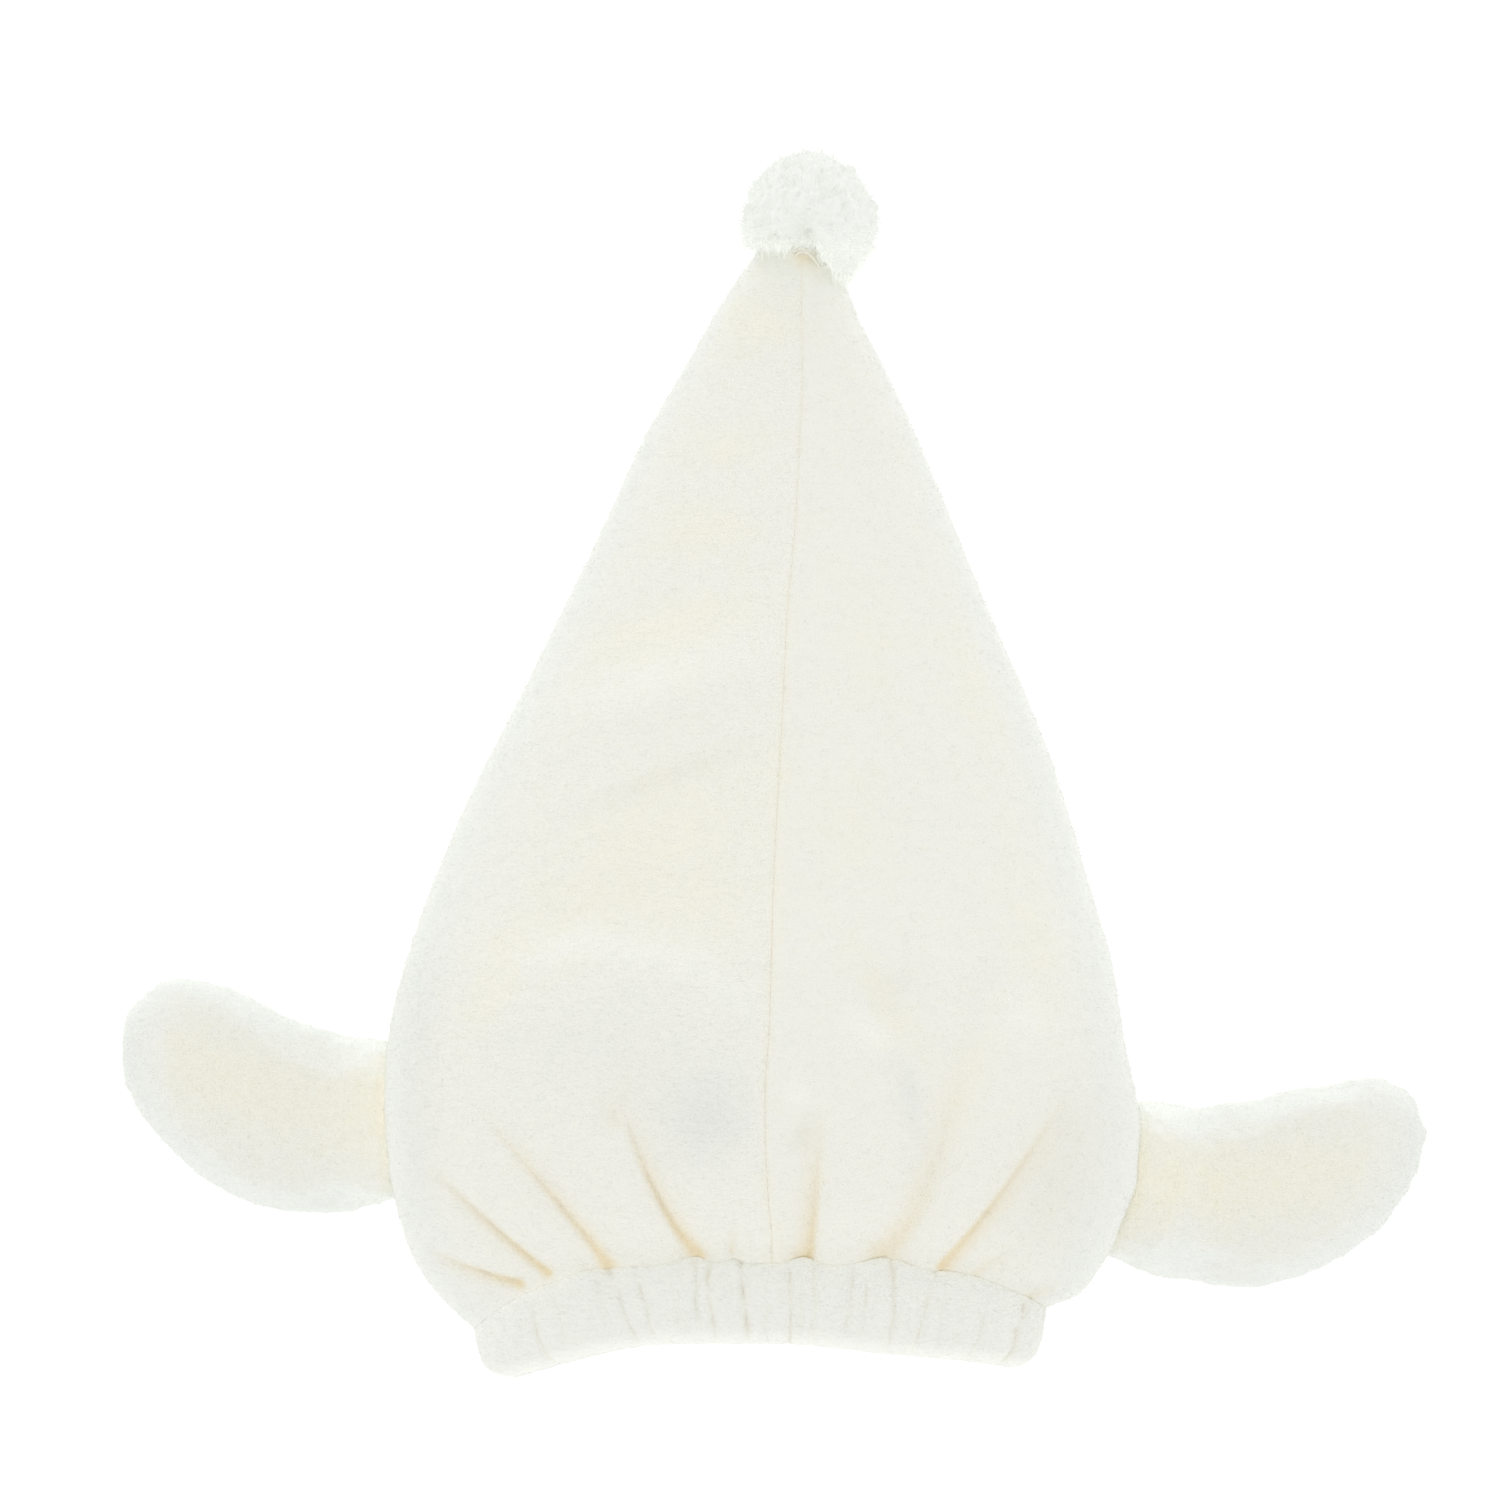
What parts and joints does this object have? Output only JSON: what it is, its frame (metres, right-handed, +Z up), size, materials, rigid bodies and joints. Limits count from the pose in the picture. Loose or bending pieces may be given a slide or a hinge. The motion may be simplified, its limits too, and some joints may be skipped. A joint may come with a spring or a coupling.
{
  "type": "towel cap",
  "caption": "Hair-drying towel cap lying flat: a tall pointed hollow crown of plush with a gathered elastic headband, floppy padded ears and a yarn pompom on the tip.",
  "frame": {"origin": "middle of the cap's outline, on the surface that its front panel rests on", "axes": "+X across the cap to the right ear as seen from above, +Y from the mouth to the tip, +Z up from the surface"},
  "size_m": [0.434, 0.4112, 0.0488],
  "materials": {
    "cream_plush": "matte short-pile microfibre plush",
    "white_yarn": "matte cut acrylic yarn"
  },
  "bodies": {
    "root": {"back_panel_left": "cream_plush", "back_panel_right": "cream_plush", "front_panel": "cream_plush", "headband": "cream_plush", "ear_left": "cream_plush", "ear_right": "cream_plush", "pompom": "white_yarn"}
  },
  "joints": []
}
